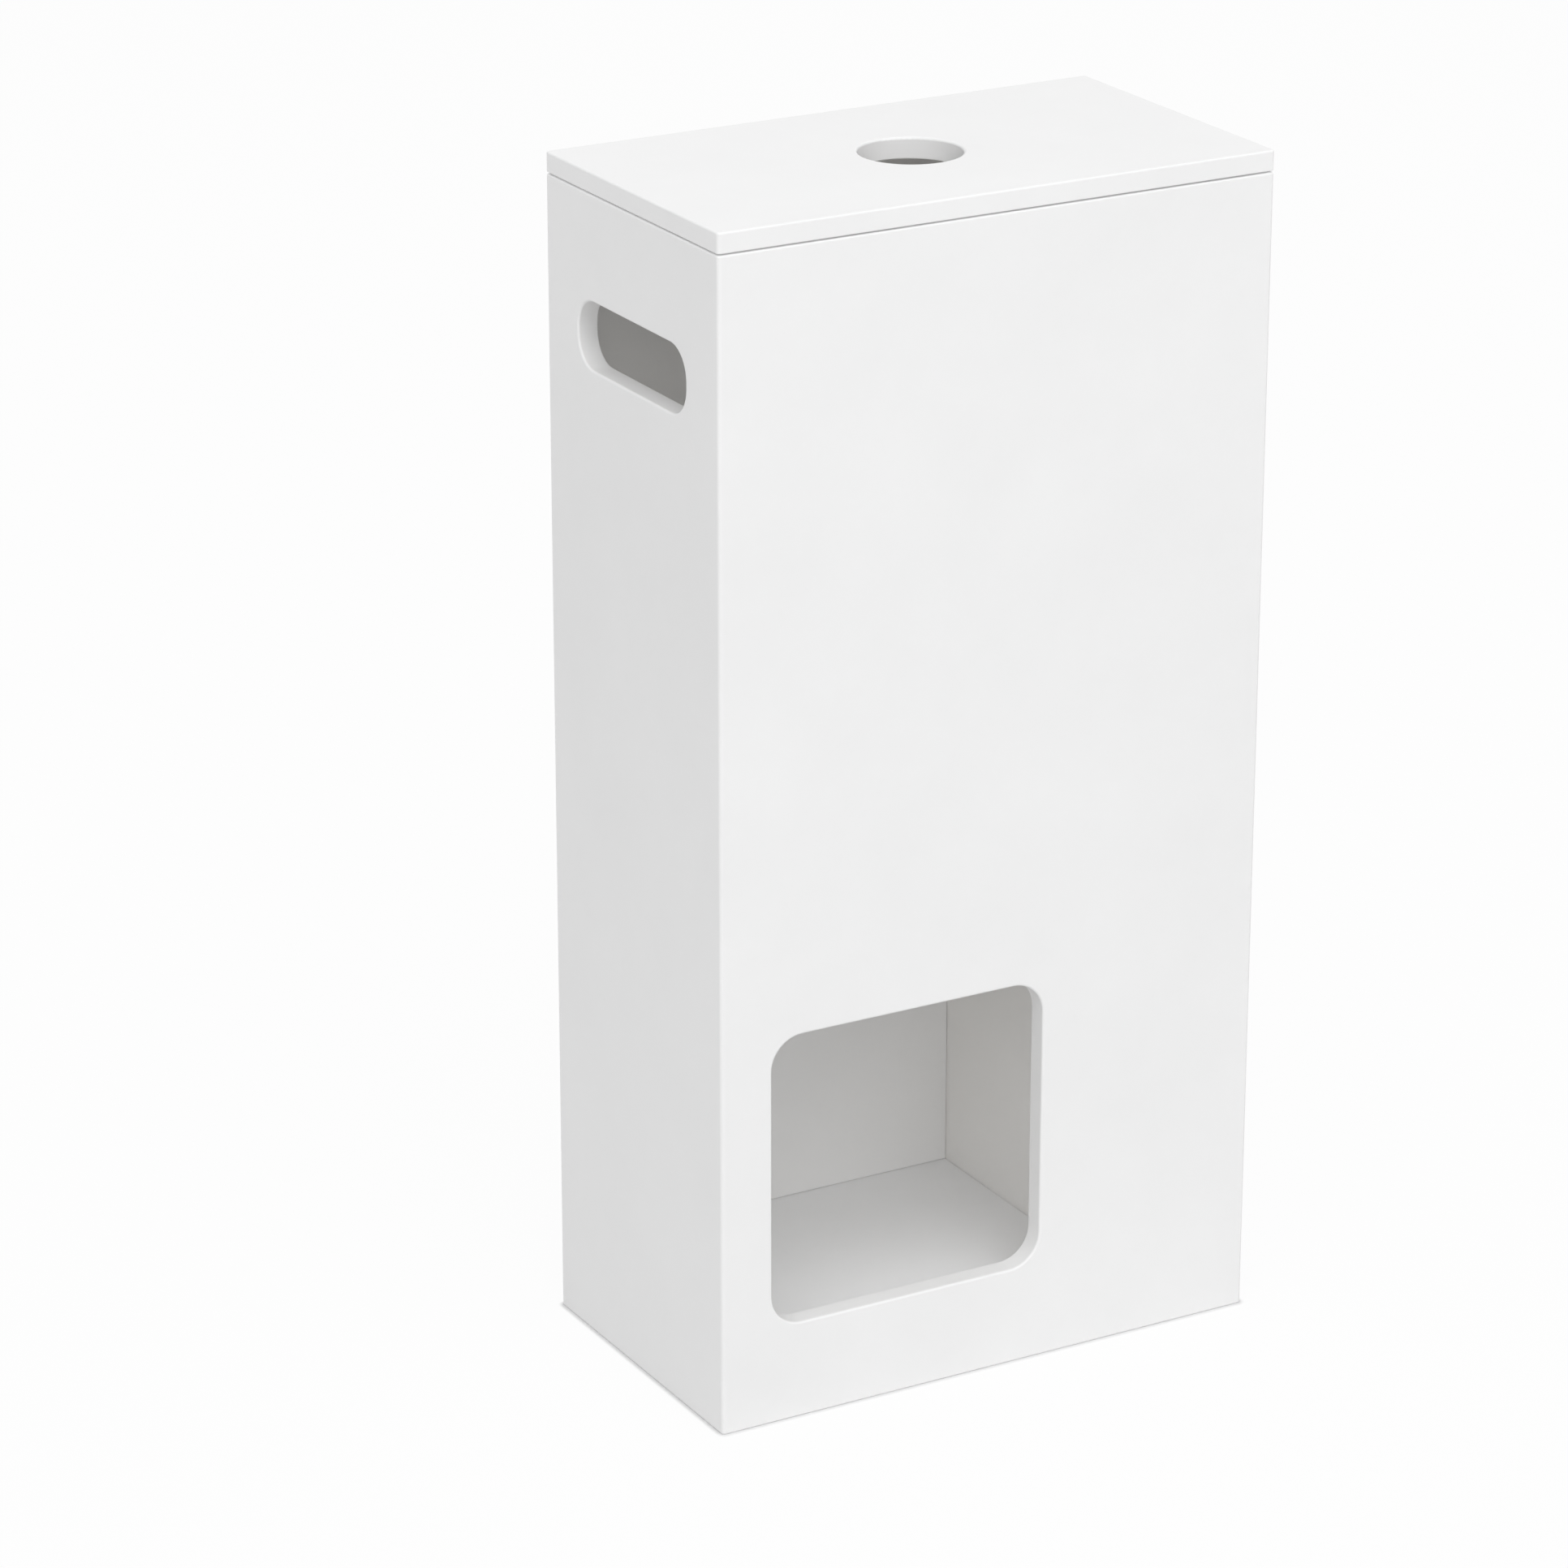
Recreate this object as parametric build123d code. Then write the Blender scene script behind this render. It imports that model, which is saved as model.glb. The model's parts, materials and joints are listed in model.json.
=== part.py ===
from build123d import *
import os

# A tall lacquered box that stores spare toilet rolls, with a lift-off lid.
# Rolls drop in at the top and come out through a window low in the front.
# Millimetres. X runs right along the front, Y runs to the back, Z runs up.
# The origin is on the ground, in the middle of the footprint.

# Outside of the closed stand
width = 250.0
depth = 140.0
height = 500.0

# Board thicknesses
wall = 9.0
lid_thickness = 9.0
floor_thickness = 9.0
guide_thickness = 9.0

# Inside: the floor carries the rolls, the guide keeps them in line with the window
floor_level = 30.0
shaft_width = 174.0
guide_below_rim = 3.0

# Roll window in the front panel
window_width = 126.0
window_height = 126.0
window_from_left = 23.0
window_sill = 42.0
window_corner = 14.0

# Hand hole in each side panel, centred on the depth, its ends nearly half round
hand_hole_length = 88.0
hand_hole_height = 28.0
hand_hole_corner = 12.5
hand_hole_below_rim = 57.0

# Finger hole in the middle of the lid
finger_hole_diameter = 42.0

# Narrow step under the lid's edge, which shows as a fine dark line
seam_height = 0.7
seam_depth = 2.5

# Rounded edges under the lacquer: upright corners, openings, rim and lid, inner edges
corner_round = 1.6
opening_round = 1.0
rim_round = 0.8
inner_round = 0.6
lid_under_round = 0.4

# Floor and guide sit in grooves: how far they reach in, and the play around them
tongue = 3.0
groove_play = 0.25
groove_end_play = 0.3

# Blind dowels across the four upright corner joints
dowels_per_joint = 4
dowel_diameter = 5.0
dowel_length = 20.0
dowel_bite = 5.5
dowel_chamfer = 0.6
dowel_play = 0.05
dowel_end_play = 0.5
lowest_dowel = 50.0
highest_dowel_below_rim = 20.0

# Two battens under the lid keep it from sliding off
batten_width = 12.0
batten_height = 9.0
batten_play = 0.5
batten_chamfer = 1.0

# Countersunk screws from each batten up into the lid
screws_per_batten = 2
screw_spacing = 70.0
screw_diameter = 3.0
screw_bite = 6.0
screw_tip = 2.0
head_diameter = 6.0
head_height = 1.7
head_sink = 0.3
cross_length = 3.2
cross_width = 0.9
cross_depth = 1.1
screw_play = 0.05
screw_end_play = 0.5

# Places that follow from the sizes above
rim = height - lid_thickness
inner_x = width / 2 - wall
inner_y = depth / 2 - wall
groove_depth = tongue + groove_end_play
floor_underside = floor_level - floor_thickness
guide_left = shaft_width - inner_x
guide_right = guide_left + guide_thickness
guide_top = rim - guide_below_rim
window_left = window_from_left - width / 2
window_right = window_left + window_width
window_top = window_sill + window_height
hand_hole_middle = rim - hand_hole_below_rim
joint_x = width / 2 - wall / 2
batten_outer = inner_x - batten_play
batten_inner = batten_outer - batten_width
batten_half_length = inner_y - batten_play
batten_underside = rim - batten_height
screw_length = batten_height - head_sink + screw_bite


def block(x, y, z):
    """A box between the low and high value on each axis."""
    spans = (x, y, z)
    middle = [(low + high) / 2 for low, high in spans]
    sides = [high - low for low, high in spans]
    return Pos(*middle) * Box(*sides)


def edges_between(shape, x, y, z):
    """The shape's edges that lie wholly inside the box between the given spans."""
    margin = 0.001
    found = ShapeList()
    for edge in shape.edges():
        bounds = edge.bounding_box()
        lows = (bounds.min.X, bounds.min.Y, bounds.min.Z)
        highs = (bounds.max.X, bounds.max.Y, bounds.max.Z)
        inside = [
            span[0] - margin <= low and high <= span[1] + margin
            for span, low, high in zip((x, y, z), lows, highs)
        ]
        if all(inside):
            found.append(edge)
    return found


def both_ways(value):
    """The span from minus the value to plus the value."""
    return (-value, value)


def at(value):
    """A span of no width, for a plane."""
    return (value, value)


def ordered(a, b):
    """A span between two values given in either order."""
    return (min(a, b), max(a, b))


def dowel_heights():
    """Heights of the dowels in one upright corner joint, evenly spaced."""
    top = rim - highest_dowel_below_rim
    step = (top - lowest_dowel) / (dowels_per_joint - 1)
    return [lowest_dowel + step * i for i in range(dowels_per_joint)]


def dowel_drilling(side_x, side_y):
    """Holes for one corner joint, half in the long panel and half in the side panel."""
    radius = dowel_diameter / 2 + dowel_play
    length = dowel_length + 2 * dowel_end_play
    middle_y = side_y * (inner_y + dowel_bite - dowel_length / 2)
    holes = Part()
    for z in dowel_heights():
        place = Pos(side_x * joint_x, middle_y, z) * Rot(90, 0, 0)
        holes += place * Cylinder(radius, length)
    return holes


def floor_grooves():
    """The space that the floor's edges need in the four walls."""
    reach_x = inner_x + groove_depth
    reach_y = inner_y + groove_depth
    z = (floor_underside - groove_play, floor_level + groove_play)
    return block(both_ways(reach_x), both_ways(reach_y), z)


def guide_groove(bottom, top):
    """The space that the guide's edges need in the long panels and the floor."""
    x = (guide_left - groove_play, guide_right + groove_play)
    return block(x, both_ways(inner_y + groove_depth), (bottom, top))


def long_panel(side_y):
    """Front (-1) or back (+1) panel: covers the full width and the side panels' ends."""
    outside = side_y * depth / 2
    inside = side_y * inner_y
    half = width / 2
    thickness = ordered(outside, inside)
    panel = block(both_ways(half), thickness, (0, rim))
    for x in (-half, half):
        panel = fillet(edges_between(panel, at(x), at(outside), (0, rim)), corner_round)
    for z in (0, rim):
        outline = edges_between(panel, both_ways(half), thickness, at(z))
        inner_edge = edges_between(panel, both_ways(half), at(inside), at(z))
        panel = fillet(outline - inner_edge, rim_round)
    panel -= floor_grooves()
    panel -= guide_groove(floor_level - groove_depth, height)
    for side_x in (-1, 1):
        panel -= dowel_drilling(side_x, side_y)
    return panel


def front_panel():
    """Long panel with the roll window, its corners and both rims rounded."""
    panel = long_panel(-1)
    outline = RectangleRounded(window_width, window_height, window_corner)
    middle_x = (window_left + window_right) / 2
    middle_z = (window_sill + window_top) / 2
    panel -= Pos(middle_x, -depth / 2, middle_z) * Rot(90, 0, 0) * extrude(outline, wall * 2, both=True)
    x = (window_left, window_right)
    z = (window_sill, window_top)
    panel = fillet(edges_between(panel, x, at(-depth / 2), z), opening_round)
    return fillet(edges_between(panel, x, at(-inner_y), z), inner_round)


def side_panel(side_x):
    """Left (-1) or right (+1) panel, between the long panels, with its hand hole."""
    outside = side_x * width / 2
    inside = side_x * inner_x
    panel = block(ordered(outside, inside), both_ways(inner_y), (0, rim))
    for z in (0, rim):
        panel = fillet(edges_between(panel, at(outside), both_ways(inner_y), at(z)), rim_round)
    panel -= floor_grooves()
    for side_y in (-1, 1):
        panel -= dowel_drilling(side_x, side_y)
    outline = RectangleRounded(hand_hole_length, hand_hole_height, hand_hole_corner)
    place = Pos(outside, 0, hand_hole_middle) * Rot(0, 0, 90) * Rot(90, 0, 0)
    panel -= place * extrude(outline, wall * 2, both=True)
    y = both_ways(hand_hole_length / 2)
    half_height = hand_hole_height / 2
    z = (hand_hole_middle - half_height, hand_hole_middle + half_height)
    panel = fillet(edges_between(panel, at(outside), y, z), opening_round)
    return fillet(edges_between(panel, at(inside), y, z), inner_round)


def floor_panel():
    """Floor, let into all four walls, with a groove across it for the guide."""
    z = (floor_underside, floor_level)
    panel = block(both_ways(inner_x + tongue), both_ways(inner_y + tongue), z)
    return panel - guide_groove(floor_level - groove_depth, height)


def guide_partition():
    """Upright board beside the roll column, let into the front, the back and the floor."""
    z = (floor_level - tongue, guide_top)
    return block((guide_left, guide_right), both_ways(inner_y + tongue), z)


def screw_places():
    """Y positions of the screws along one batten."""
    step = screw_spacing / (screws_per_batten - 1)
    return [step * i - screw_spacing / 2 for i in range(screws_per_batten)]


def screw_body(play, end_play):
    """Countersunk screw pointing up from its head at Z 0, grown by the play given."""
    radius = screw_diameter / 2 + play
    head = head_diameter / 2 + play
    length = screw_length + end_play
    outline = Polyline(
        (0, 0),
        (head, 0),
        (radius, head_height),
        (radius, length - screw_tip),
        (0, length),
        close=True,
    )
    return revolve(Plane.XZ * make_face(outline), Axis.Z)


def screw_drilling(side_x):
    """Countersunk holes through one batten and into the lid above it."""
    x = side_x * (batten_inner + batten_outer) / 2
    sink = Cylinder(head_diameter / 2 + screw_play, head_sink * 2)
    holes = Part()
    for y in screw_places():
        holes += Pos(x, y, batten_underside + head_sink) * screw_body(screw_play, screw_end_play)
        holes += Pos(x, y, batten_underside) * sink
    return holes


def lid_panel():
    """Lid: rounded all round, stepped under its edge, with its holes."""
    x = both_ways(width / 2)
    y = both_ways(depth / 2)
    edge_underside = rim + seam_height
    panel = block(x, y, (edge_underside, height))
    panel = fillet(panel.edges().filter_by(Axis.Z), corner_round)
    panel = fillet(edges_between(panel, x, y, at(height)), rim_round)
    panel = fillet(edges_between(panel, x, y, at(edge_underside)), lid_under_round)
    seat_x = both_ways(width / 2 - seam_depth)
    seat_y = both_ways(depth / 2 - seam_depth)
    panel += block(seat_x, seat_y, (rim, rim + lid_thickness / 2))
    radius = finger_hole_diameter / 2
    panel -= Pos(0, 0, (rim + height) / 2) * Cylinder(radius, lid_thickness * 2)
    hole = both_ways(radius)
    panel = fillet(edges_between(panel, hole, hole, at(height)), opening_round)
    panel = fillet(edges_between(panel, hole, hole, at(rim)), inner_round)
    for side_x in (-1, 1):
        panel -= screw_drilling(side_x)
    return panel


def lid_batten(side_x):
    """Batten under one end of the lid, its lower edges chamfered to lead it in."""
    x = ordered(side_x * batten_inner, side_x * batten_outer)
    y = both_ways(batten_half_length)
    batten = block(x, y, (batten_underside, rim))
    batten = chamfer(edges_between(batten, x, y, at(batten_underside)), batten_chamfer)
    return batten - screw_drilling(side_x)


def batten_screws(side_x):
    """The screws of one batten, each with a cross recess in its head."""
    x = side_x * (batten_inner + batten_outer) / 2
    slot = Box(cross_length, cross_width, cross_depth * 2)
    screw = screw_body(0, 0) - slot - Rot(0, 0, 90) * slot
    place = [Pos(x, y, batten_underside + head_sink) for y in screw_places()]
    return Compound([(p * screw).solid() for p in place])


def corner_dowels(side_x, side_y):
    """The dowels of one upright corner joint, chamfered at both ends."""
    dowel = Cylinder(dowel_diameter / 2, dowel_length)
    dowel = chamfer(dowel.edges().filter_by(GeomType.CIRCLE), dowel_chamfer)
    middle_y = side_y * (inner_y + dowel_bite - dowel_length / 2)
    place = [Pos(side_x * joint_x, middle_y, z) * Rot(90, 0, 0) for z in dowel_heights()]
    return Compound([(p * dowel).solid() for p in place])


pieces = {
    "front_panel": front_panel(),
    "back_panel": long_panel(1),
    "left_side_panel": side_panel(-1),
    "right_side_panel": side_panel(1),
    "floor_panel": floor_panel(),
    "guide_partition": guide_partition(),
    "lid_panel": lid_panel(),
    "left_lid_batten": lid_batten(-1),
    "right_lid_batten": lid_batten(1),
    "left_batten_screws": batten_screws(-1),
    "right_batten_screws": batten_screws(1),
    "front_left_dowels": corner_dowels(-1, -1),
    "front_right_dowels": corner_dowels(1, -1),
    "back_left_dowels": corner_dowels(-1, 1),
    "back_right_dowels": corner_dowels(1, 1),
}

os.makedirs("parts", exist_ok=True)
for name, shape in pieces.items():
    shape.label = name
    export_step(shape, f"parts/{name}.step")
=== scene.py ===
import bpy
import json
import math
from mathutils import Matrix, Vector


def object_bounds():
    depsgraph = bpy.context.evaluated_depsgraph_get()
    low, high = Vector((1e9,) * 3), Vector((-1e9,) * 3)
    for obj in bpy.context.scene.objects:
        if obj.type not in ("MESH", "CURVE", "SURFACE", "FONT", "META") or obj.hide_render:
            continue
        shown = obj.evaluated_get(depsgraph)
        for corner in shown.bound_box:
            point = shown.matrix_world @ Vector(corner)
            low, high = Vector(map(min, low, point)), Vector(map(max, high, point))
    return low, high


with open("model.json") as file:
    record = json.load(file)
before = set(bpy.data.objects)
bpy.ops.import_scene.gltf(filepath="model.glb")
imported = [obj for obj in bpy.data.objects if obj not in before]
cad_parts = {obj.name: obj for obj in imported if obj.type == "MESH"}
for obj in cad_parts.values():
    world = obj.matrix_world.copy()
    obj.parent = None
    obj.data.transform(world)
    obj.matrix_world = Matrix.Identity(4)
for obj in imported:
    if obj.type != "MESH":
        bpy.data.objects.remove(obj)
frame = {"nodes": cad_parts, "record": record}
cad_low, cad_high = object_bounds()

# Camera: stands to the left of the front, well above the stand and 2.4 m from it
CAMERA_TURN = math.radians(29.5)
CAMERA_TILT = math.radians(20.7)
CAMERA_DISTANCE = 2.4
CAMERA_LENS = 135.3
SENSOR_WIDTH = 36.0
NEAREST_SEEN = 0.01
FARTHEST_SEEN = 100.0
# The stand is framed right of the middle and a little high
AIM_LEFT = 0.0496
AIM_DOWN = 0.0147

# Light: an even pale room and four wide soft boxes, each with its strength and its direction
ROOM_LIGHT = 0.41
LAMP_DISTANCE = 6.0
LAMP_WIDTH = 6.6
LAMPS = {
    "front_lamp": (0.57, (0.00, -0.77, 0.64)),
    "front_left_lamp": (0.95, (-0.40, -0.64, 0.66)),
    "left_lamp": (0.44, (-0.64, 0.00, 0.77)),
    "high_lamp": (0.99, (0.07, -0.42, 0.91)),
}

# White lacquer sends light on many times inside the box
LIGHT_BOUNCES = 24

# Floor: pale, wide enough to fill the view, and lifted this far towards white where it is seen
WHITE = (1.0, 1.0, 1.0, 1.0)
FLOOR_HALF = 12.0
FLOOR_COLOUR = (0.78, 0.78, 0.78, 1.0)
FLOOR_LIFT = 0.95
# The lift fades out close to what stands on the floor, and is gone where that hides a third
# of the sky, so the contact shadow shows
CONTACT_REACH = 0.0023
CONTACT_SHARE = 1 / 3

# Lacquer, darkest and lightest: the boards outside; the boards inside and those fitted in,
# painted lighter as painted light in the box; the guide, painted warmer as painted shade
OUTER_WHITE = ((0.862, 0.862, 0.862, 1), (0.932, 0.932, 0.932, 1))
INNER_PAINTED_LIGHT_WHITE = ((0.882, 0.880, 0.876, 1), (0.949, 0.947, 0.943, 1))
FITTED_PAINTED_LIGHT_WHITE = ((0.880, 0.883, 0.887, 1), (0.941, 0.944, 0.948, 1))
GUIDE_PAINTED_SHADE_WHITE = ((0.895, 0.882, 0.864, 1), (0.954, 0.943, 0.923, 1))

# Lacquer's surface: size of its clouds, orange peel and grain, and the relief of the last two
CLOUD_SIZE = 0.075
PEEL_SIZE = 0.0028
GRAIN_SIZE = 0.0006
PEEL_SHARE = 0.6
LACQUER_RELIEF = 0.000014
# Sanding leaves this share of the relief outside, while the inside keeps all of it
OUTER_RELIEF = 0.45

# Lacquer's gloss: roughness at its smoothest, and what clouds and grain add to it
LACQUER_ROUGHNESS = 0.34
CLOUD_ROUGHNESS = 0.10
GRAIN_ROUGHNESS = 0.06
LACQUER_IOR = 1.47
COAT_WEIGHT = 0.12
COAT_ROUGHNESS = 0.22

# The box's inner faces lie just within these distances from its middle and above the ground
INSIDE_X = 0.1163
INSIDE_Y = 0.0613
INSIDE_TOP = 0.4905

# Beech dowels: colour between and in the grain's streaks, and of the flecks in them
BEECH_DARK = (0.42, 0.24, 0.11, 1)
BEECH_PALE = (0.66, 0.46, 0.27, 1)
BEECH_FLECK = (0.30, 0.16, 0.08, 1)
STREAK_SIZE = 0.0011
STREAK_STRETCH = (1, 0.06, 1)
FLECK_SIZE = 0.0004
FLECK_STRETCH = (1, 0.2, 1)
FLECK_SHARPNESS = 4
BEECH_RELIEF = 0.00003

# Zinc screws: blue grey and yellowish patches of passivation, and fine drawn marks
ZINC_COOL = (0.58, 0.60, 0.62, 1)
ZINC_WARM = (0.74, 0.73, 0.68, 1)
PATCH_SIZE = 0.0025
MARK_SIZE = 0.0003
MARK_STRETCH = (1, 1, 0.1)
ZINC_RELIEF = 0.000006


class Signal:
    """One output of a node. Arithmetic on it adds Math nodes."""

    def __init__(self, finish, socket):
        self.finish = finish
        self.socket = socket

    def _math(self, operation, first, second):
        return self.finish.node("ShaderNodeMath", {"operation": operation}, {0: first, 1: second})

    def __add__(self, other):
        return self._math("ADD", self, other)

    def __radd__(self, other):
        return self._math("ADD", other, self)

    def __sub__(self, other):
        return self._math("SUBTRACT", self, other)

    def __rsub__(self, other):
        return self._math("SUBTRACT", other, self)

    def __mul__(self, other):
        return self._math("MULTIPLY", self, other)

    def __rmul__(self, other):
        return self._math("MULTIPLY", other, self)

    def __pow__(self, other):
        return self._math("POWER", self, other)

    def __lt__(self, other):
        return self._math("LESS_THAN", self, other)

    def __abs__(self):
        return self._math("ABSOLUTE", self, 0)


class Finish:
    """The nodes of a material or of the room, under construction."""

    def __init__(self, owner):
        owner.use_nodes = True
        self.owner = owner
        self.tree = owner.node_tree
        self.tree.nodes.clear()

    def node(self, kind, settings=None, inputs=None, output=0):
        """Adds a node: its settings first, then the value or link of each named socket."""
        made = self.tree.nodes.new(kind)
        for name, value in (settings or {}).items():
            setattr(made, name, value)
        for name, value in (inputs or {}).items():
            if isinstance(value, Signal):
                self.tree.links.new(value.socket, made.inputs[name])
            else:
                made.inputs[name].default_value = value
        return Signal(self, made.outputs[output]) if made.outputs else None

    def place(self, stretch=(1, 1, 1)):
        """Position on the stand in metres, stretched along each axis."""
        position = self.node("ShaderNodeTexCoord", output="Object")
        return self.node("ShaderNodeMapping", inputs={"Vector": position, "Scale": stretch})

    def noise(self, size, detail=2.0, stretch=(1, 1, 1), roughness=0.5):
        """Soft random pattern from 0 to 1 with features of the given size in metres."""
        inputs = {
            "Vector": self.place(stretch),
            "Scale": 1 / size,
            "Detail": detail,
            "Roughness": roughness,
        }
        return self.node("ShaderNodeTexNoise", inputs=inputs)

    def blend(self, amount, first, second):
        """A colour between two colours."""
        settings = {"data_type": "RGBA"}
        return self.node("ShaderNodeMix", settings, {0: amount, 6: first, 7: second}, output=2)

    def relief(self, height, depth):
        """A bumped normal, the height from 0 to 1 standing for the depth in metres."""
        inputs = {"Height": height, "Distance": depth, "Strength": 1.0}
        return self.node("ShaderNodeBump", inputs=inputs, output="Normal")

    def surface(self, inputs):
        """Ends a material in one shader with the given sockets."""
        return self.end(self.node("ShaderNodeBsdfPrincipled", inputs=inputs))

    def end(self, shader, kind="ShaderNodeOutputMaterial"):
        """Ends the nodes in the given shader, and gives back what they belong to."""
        self.node(kind, inputs={"Surface": shader})
        return self.owner


def new_finish(name):
    """The empty nodes of a new material."""
    return Finish(bpy.data.materials.new(name))


def inner_faces(finish):
    """1 on the faces of the boards that look into the box, 0 on their outsides."""
    place = finish.place()
    x, y, z = (
        finish.node("ShaderNodeSeparateXYZ", inputs={"Vector": place}, output=axis)
        for axis in "XYZ"
    )
    return (abs(x) < INSIDE_X) * (abs(y) < INSIDE_Y) * (z < INSIDE_TOP)


def satin_lacquer(name, outside, inside):
    """Sprayed white lacquer: faint clouds and orange peel, which is stronger inside the box; the
    inner faces take the inside colour, which carries painted light.
    """
    finish = new_finish(name)
    drift = finish.noise(CLOUD_SIZE, detail=5.0, roughness=0.6)
    peel = finish.noise(PEEL_SIZE, detail=1.0)
    grain = finish.noise(GRAIN_SIZE, detail=2.0)
    within = inner_faces(finish)
    outer_white = finish.blend(drift, *outside)
    # Painted light: the inner faces are painted a lighter white than the outside, standing in for
    # light in the box
    inner_painted_light_white = finish.blend(drift, *inside)
    height = peel * PEEL_SHARE + grain * (1 - PEEL_SHARE)
    kept = OUTER_RELIEF + (1 - OUTER_RELIEF) * within
    return finish.surface({
        "Base Color": finish.blend(within, outer_white, inner_painted_light_white),
        "Roughness": LACQUER_ROUGHNESS + CLOUD_ROUGHNESS * drift + GRAIN_ROUGHNESS * grain,
        "Normal": finish.relief(height * kept, LACQUER_RELIEF),
        "IOR": LACQUER_IOR,
        "Coat Weight": COAT_WEIGHT,
        "Coat Roughness": COAT_ROUGHNESS,
    })


def beech_rod():
    """Dowel rod: straight grain along its length, with short dark flecks."""
    finish = new_finish("beech_rod")
    streaks = finish.noise(STREAK_SIZE, detail=3.0, stretch=STREAK_STRETCH)
    flecks = finish.noise(FLECK_SIZE, detail=1.0, stretch=FLECK_STRETCH)
    grain = finish.blend(streaks, BEECH_DARK, BEECH_PALE)
    return finish.surface({
        "Base Color": finish.blend(flecks ** FLECK_SHARPNESS, grain, BEECH_FLECK),
        "Roughness": 0.55 + 0.2 * streaks,
        "Normal": finish.relief(streaks + flecks, BEECH_RELIEF),
    })


def zinc_steel():
    """Bright zinc plating: cool grey with faint cloudy passivation and drawn marks."""
    finish = new_finish("zinc_steel")
    patches = finish.noise(PATCH_SIZE, detail=2.0)
    marks = finish.noise(MARK_SIZE, detail=2.0, stretch=MARK_STRETCH)
    return finish.surface({
        "Base Color": finish.blend(patches, ZINC_COOL, ZINC_WARM),
        "Metallic": 1.0,
        "Roughness": 0.24 + 0.16 * marks,
        "Normal": finish.relief(marks, ZINC_RELIEF),
    })


def seen_directly(finish):
    """1 for rays from the camera, off gloss or through glass, 0 for light on its way round."""
    camera, glossy, clear = (
        finish.node("ShaderNodeLightPath", output=f"Is {ray} Ray")
        for ray in ("Camera", "Glossy", "Transmission")
    )
    return finish.node("ShaderNodeMath", {"operation": "MAXIMUM"}, {0: camera + glossy, 1: clear})


def away_from_contact(finish):
    """1 on open floor, down to 0 where what stands on it hides enough of the sky."""
    reach = {"Distance": CONTACT_REACH}
    open_sky = finish.node("ShaderNodeAmbientOcclusion", inputs=reach, output="AO")
    hidden = 1 - open_sky
    return 1 - hidden * (1 / CONTACT_SHARE)


def pale_floor():
    """Matt pale floor, lifted towards white where it is seen, so it keeps a faint shadow."""
    finish = new_finish("pale_floor")
    matt = finish.node("ShaderNodeBsdfDiffuse", inputs={"Color": FLOOR_COLOUR})
    glow = finish.node("ShaderNodeEmission", inputs={"Color": WHITE, "Strength": 1.0})
    amount = seen_directly(finish) * away_from_contact(finish) * FLOOR_LIFT
    return finish.end(finish.node("ShaderNodeMixShader", inputs={0: amount, 1: matt, 2: glow}))


def paint(node, material):
    """Gives a node one finish all over."""
    mesh = frame["nodes"][node].data
    mesh.materials.clear()
    mesh.materials.append(material)


def make_finishes():
    """A finish for each material slot of the record, and for the guide a warmer lacquer that is
    painted shade.
    """
    finishes = {
        # Painted light: the inner faces of these boards are painted lighter than their outsides
        "outer_lacquer": satin_lacquer("outer_lacquer", OUTER_WHITE, INNER_PAINTED_LIGHT_WHITE),
        # Painted light: the fitted boards are painted lighter than the outside, standing in for
        # light in the box
        "inner_lacquer": satin_lacquer("inner_lacquer", FITTED_PAINTED_LIGHT_WHITE, FITTED_PAINTED_LIGHT_WHITE),
        "beech": beech_rod(),
        "zinc_steel": zinc_steel(),
    }
    for entry in frame["record"]["subparts"]:
        paint(entry["node"], finishes[entry["material_slot"]])
    # Painted shade: the guide's warmer white stands in for the shade it lies in
    paint("guide_partition", satin_lacquer("guide_painted_shade_lacquer", GUIDE_PAINTED_SHADE_WHITE, GUIDE_PAINTED_SHADE_WHITE))


def make_floor():
    """The floor that the stand rests on."""
    bpy.ops.object.select_all(action="DESELECT")
    bpy.ops.mesh.primitive_plane_add(size=2 * FLOOR_HALF, location=(0, 0, 0))
    floor = bpy.context.object
    floor.name = "studio_floor"
    floor.data.materials.append(pale_floor())


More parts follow.
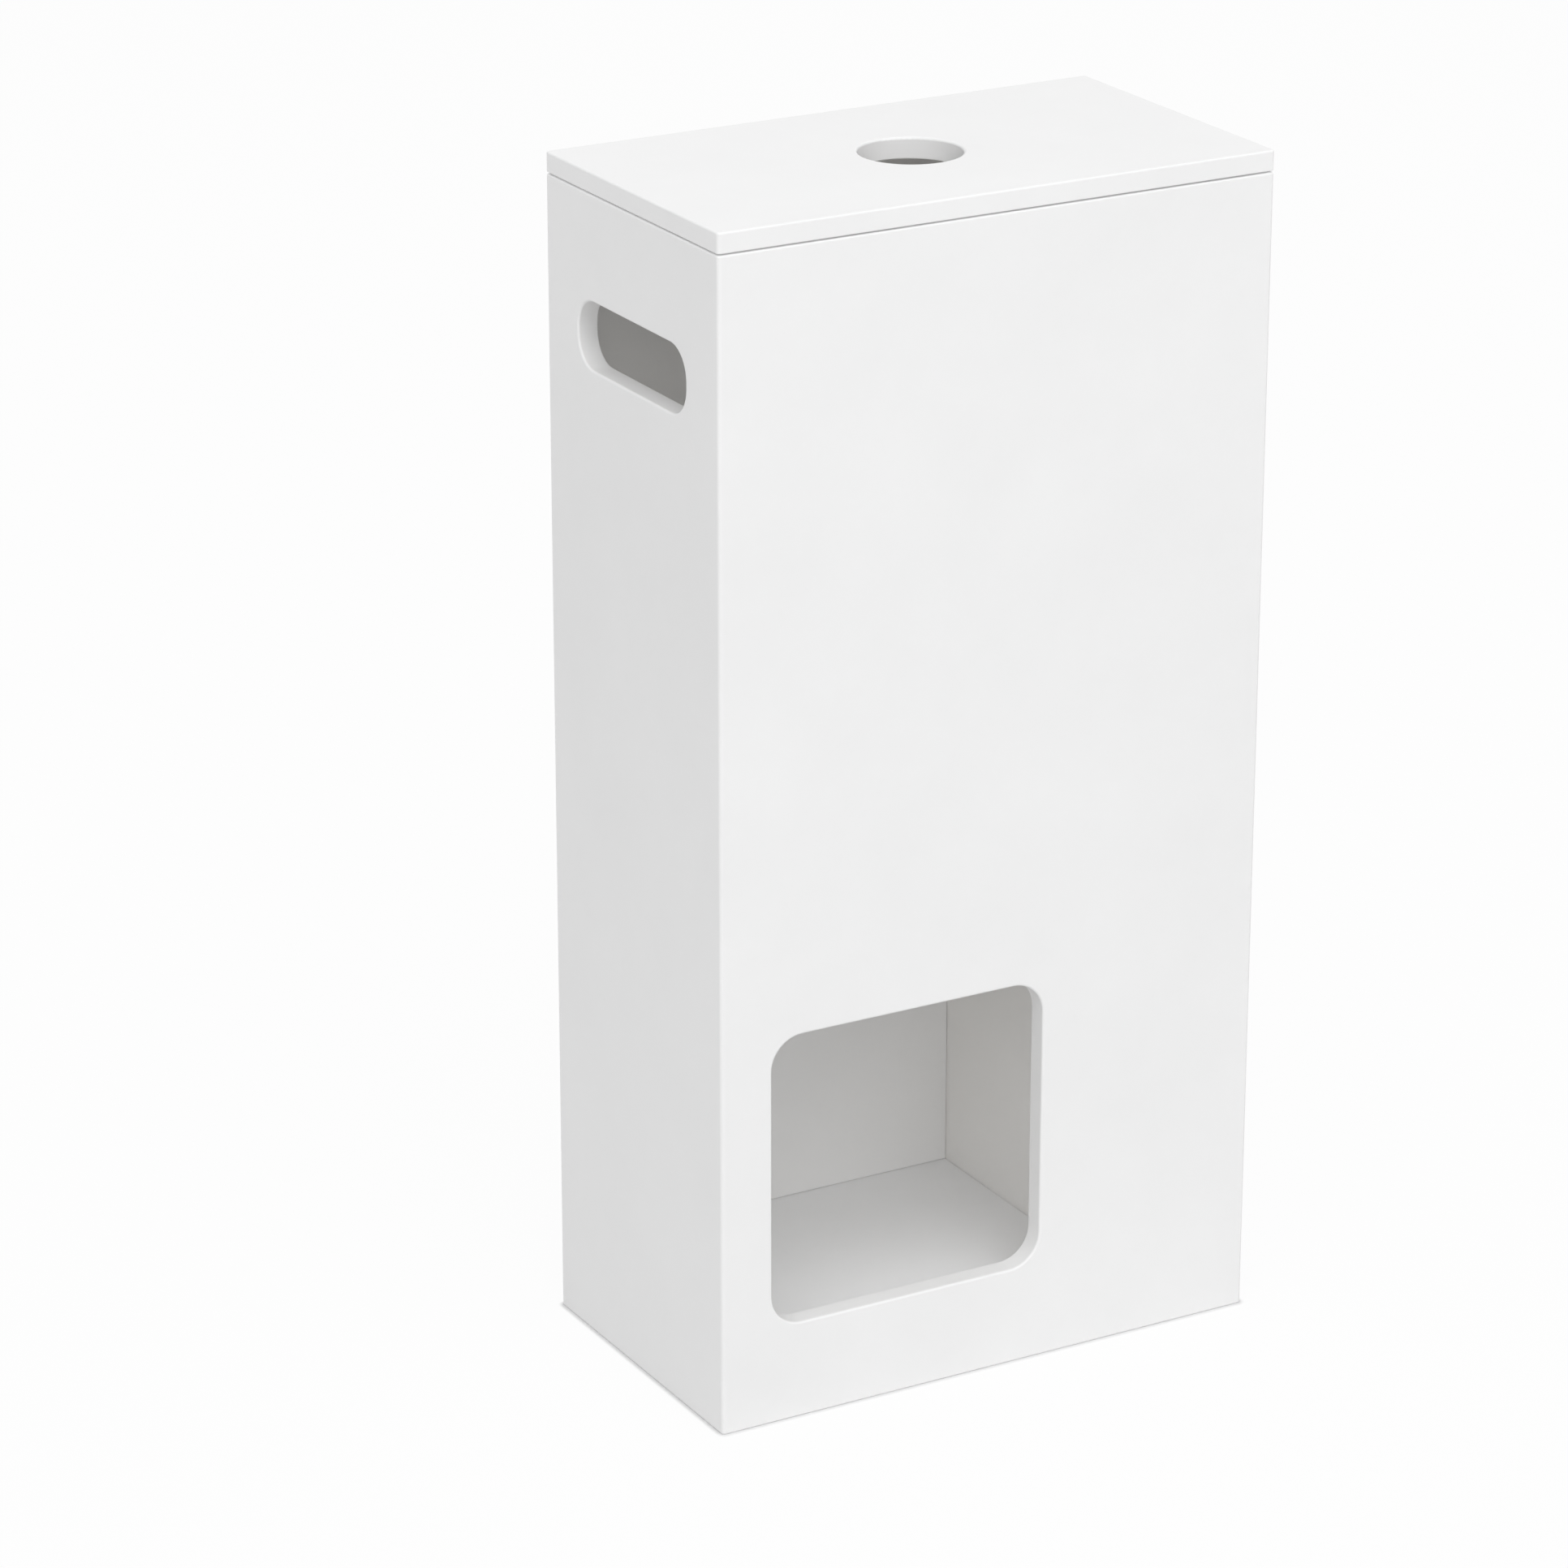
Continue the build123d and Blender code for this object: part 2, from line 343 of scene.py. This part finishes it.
def make_lamp(name, strength, direction):
    """A round soft box: the light it throws on the stand, and where it stands from it."""
    towards = Vector(direction).normalized()
    data = bpy.data.lights.new(name, "AREA")
    data.shape = "DISK"
    data.size = LAMP_WIDTH
    data.energy = strength * math.pi * LAMP_DISTANCE ** 2
    made = bpy.data.objects.new(name, data)
    bpy.context.collection.objects.link(made)
    made.location = (cad_low + cad_high) / 2 + towards * LAMP_DISTANCE
    made.rotation_euler = towards.to_track_quat("Z", "Y").to_euler()
    made.visible_camera = False
    made.visible_glossy = False


def make_lights():
    """Room light from all round, shown as white, and the lamps."""
    room = Finish(bpy.data.worlds.new("pale_room"))
    strength = ROOM_LIGHT + (1 - ROOM_LIGHT) * seen_directly(room)
    light = room.node("ShaderNodeBackground", inputs={"Color": WHITE, "Strength": strength})
    scene = bpy.context.scene
    scene.world = room.end(light, "ShaderNodeOutputWorld")
    for name, (lamp_strength, direction) in LAMPS.items():
        make_lamp(name, lamp_strength, direction)
    scene.cycles.diffuse_bounces = LIGHT_BOUNCES
    scene.cycles.max_bounces = LIGHT_BOUNCES


def make_camera():
    """The photograph's view: from the left of the front and above."""
    level = math.cos(CAMERA_TILT)
    ahead = Vector((
        math.sin(CAMERA_TURN) * level,
        math.cos(CAMERA_TURN) * level,
        -math.sin(CAMERA_TILT),
    ))
    right = ahead.cross(Vector((0, 0, 1))).normalized()
    down = ahead.cross(right)
    middle = (cad_low + cad_high) / 2
    aim = middle - right * AIM_LEFT + down * AIM_DOWN
    data = bpy.data.cameras.new("camera")
    data.lens = CAMERA_LENS
    data.sensor_width = SENSOR_WIDTH
    data.clip_start = NEAREST_SEEN
    data.clip_end = FARTHEST_SEEN
    camera = bpy.data.objects.new("camera", data)
    bpy.context.collection.objects.link(camera)
    camera.location = aim - ahead * CAMERA_DISTANCE
    camera.rotation_euler = ahead.to_track_quat("-Z", "Y").to_euler()
    bpy.context.scene.camera = camera


make_camera()
make_lights()
make_floor()
make_finishes()
bpy.context.scene.view_settings.view_transform = "Standard"
